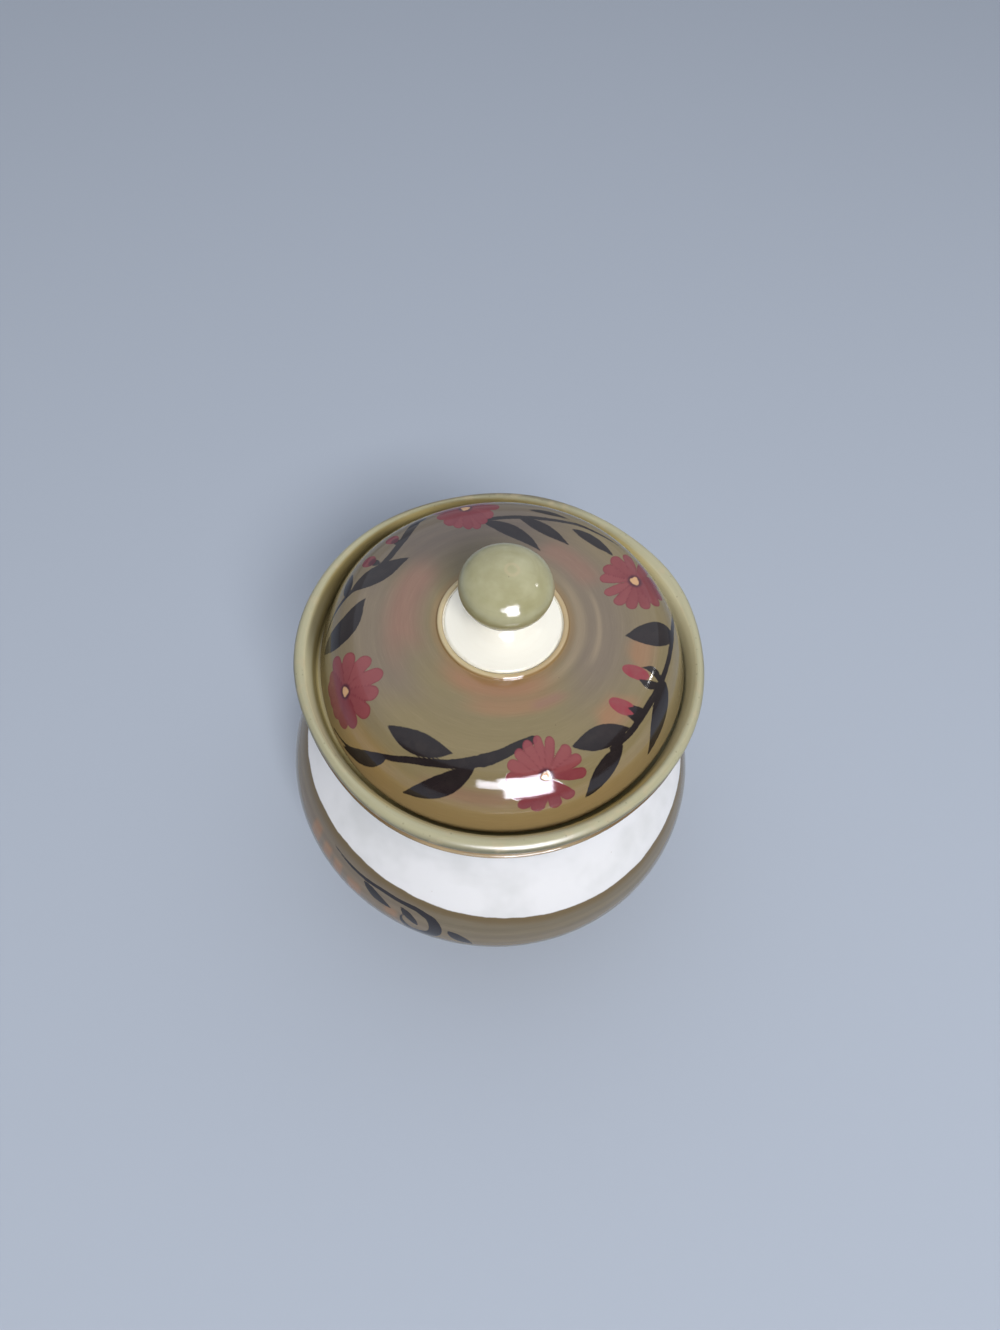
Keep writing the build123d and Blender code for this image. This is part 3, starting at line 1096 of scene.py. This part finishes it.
def make_jar():
    outline = jar_outline()
    t = Turned(outline, JAR_TURNS)
    start = outline.start
    attributes = paint_jar(Canvas(t, "height", start["outside"], start["bead"])).layers
    attributes["wash"] = jar_wash(t)
    attributes["grain"] = t.grain(1.3, 0.05)
    # The white neck ends at a line that dips round the belly. The pot is glazed inside too, and
    # the foot ring and the seat are bare
    band = 88.3 - 3.4 * np.cos(t.azimuth + math.radians(14)) + 0.5 * np.cos(3 * t.azimuth)
    on_neck = np.minimum(t.height - band, start["bead"] - 1.2 - t.run)
    on_neck[t.run < start["outside"]] = UNPAINTED
    in_pot = t.run - (start["ledge"] + SEAT_END)
    nearest = np.argmin(np.abs(outline.points[:, 0] - RECESS_GLAZE) + outline.points[:, 1])
    glaze_end = outline.run[nearest] - 3.0
    attributes["cream"] = np.maximum(np.maximum(on_neck, in_pot), glaze_end - t.run)
    foot = np.minimum(t.run - glaze_end, start["outside"] - 1.0 - t.run)
    seat = np.minimum(t.run - (start["ledge"] + SEAT_START), start["ledge"] + SEAT_END - t.run)
    attributes["bare"] = np.maximum(foot, seat)
    attributes["rim"] = np.minimum(t.run - start["roll"], start["slope"] + 3.5 - t.run)
    # The rim is dented by hand, outside and inside apart; the belly is a little uneven
    high = ramp(t.height, 118, 154)
    outer = ramp(t.run, start["outside"], start["outside"] + 5)
    outer = outer * ramp(t.run, start["slope"] + 4, start["slope"] - 3)
    wall = ramp(t.run, start["slope"] - 3, start["slope"] + 4)
    wall = wall * ramp(t.run, start["ledge"] + 5, start["ledge"] + 2)
    t.radius += dents(t.azimuth, RIM_DENTS) * high * outer
    t.radius += dents(t.azimuth, WALL_DENTS) * wall
    belly = 0.5 * np.cos(2 * t.azimuth + 1.0) + 0.3 * np.cos(3 * t.azimuth + 2.0)
    belly = belly + 0.02 * streaks(t, 51, 0.5, 12)
    on_belly = ramp(t.run, start["outside"] + 4, start["outside"] + 30) * (t.run < start["ledge"])
    t.radius += belly * (1 - high) * on_belly
    piece = t.mesh("jar_glazed", attributes, jar_material())
    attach(piece, "jar")
    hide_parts("jar_body")


# Floor, light and camera

def make_floor():
    data = bpy.data.meshes.new("floor")
    corners = [(x * FLOOR_HALF, y * FLOOR_HALF, 0) for x, y in ((-1, -1), (1, -1), (1, 1), (-1, 1))]
    data.from_pydata(corners, [], [(0, 1, 2, 3)])
    n = Nodes(bpy.data.materials.new("floor_pale"))
    shader = n.tree.nodes["Principled BSDF"].inputs
    shader["Base Color"].default_value = FLOOR_PALE
    shader["Roughness"].default_value = 0.6
    shader["Specular IOR Level"].default_value = 0.0
    data.materials.append(n.owner)
    floor = added("floor", data)


def area_light(name, place, towards, size, power, colour=(1, 1, 1)):
    """A rectangular lamp at a place, facing a point."""
    data = bpy.data.lights.new(name, "AREA")
    data.shape = "RECTANGLE"
    data.size, data.size_y = size
    data.energy = power
    data.color = colour
    lamp = added(name, data)
    lamp.location = place
    lamp.rotation_euler = (place - towards).to_track_quat("Z", "Y").to_euler()
    return lamp


def away(azimuth, elevation, distance):
    """A place at a direction and distance from the middle of the lid."""
    a, e = math.radians(azimuth), math.radians(elevation)
    out = (math.cos(a) * math.cos(e), math.sin(a) * math.cos(e), math.sin(e))
    return MIDDLE + distance * Vector(out)


def make_light():
    """A soft key, a room brighter behind and above, and panes that only show in the glaze."""
    n = Nodes(bpy.data.worlds.new("studio"))
    bpy.context.scene.world = n.owner
    direction = n.node("TexCoord", {}).outputs["Generated"]
    along = n.node("VectorMath", {0: direction, 1: BRIGHT_WAY}, operation="DOT_PRODUCT")
    share = n.ramp(along.outputs["Value"], -0.2, 0.8, "LINEAR")
    n.feed(n.tree.nodes["Background"].inputs["Color"], n.mix(share, ROOM_DIM, ROOM_BRIGHT))
    key = area_light("key", away(-68, 47, 2.6), MIDDLE, (1.0, 0.75), 54)
    key.visible_glossy = False
    above, below = Vector((0.1, 0.75, 1.35)), Vector((0.1, 0.75, 0))
    panes = (
        area_light("window", away(-70, 22, PANE_DISTANCE), MIDDLE, (0.55, 0.84), 46, COOL),
        area_light("window_left", away(-87, 26, PANE_DISTANCE), MIDDLE, (0.36, 0.27), 6.7, COOL),
        area_light("side_window", away(14, 35, PANE_DISTANCE), MIDDLE, (0.05, 0.075), 0.5),
        area_light("ceiling", above, below, (3.2, 3.3), 15, SKY),
    )
    for pane in panes:
        pane.visible_diffuse = False


def make_camera():
    """The photograph's view: a wide lens above the front, pitched down and turned a little."""
    pitch, roll = math.radians(CAMERA_PITCH), math.radians(CAMERA_ROLL)
    ahead = Vector((0, math.cos(pitch), -math.sin(pitch)))
    side = Vector((1, 0, 0))
    up = side.cross(ahead)
    right = math.cos(roll) * side + math.sin(roll) * up
    above = right.cross(ahead)
    data = bpy.data.cameras.new("camera")
    data.sensor_width = 36.0
    data.lens = data.sensor_width * FOCAL_PIXELS / IMAGE_HEIGHT
    data.clip_start = 0.01
    camera = added("camera", data)
    turn = Matrix((right, above, -ahead)).transposed()
    camera.matrix_world = Matrix.Translation(CAMERA_PLACE) @ turn.to_4x4()
    bpy.context.scene.camera = camera


make_lid()
make_knob()
make_jar()
make_floor()
make_light()
make_camera()
bpy.context.scene.view_settings.view_transform = "Standard"
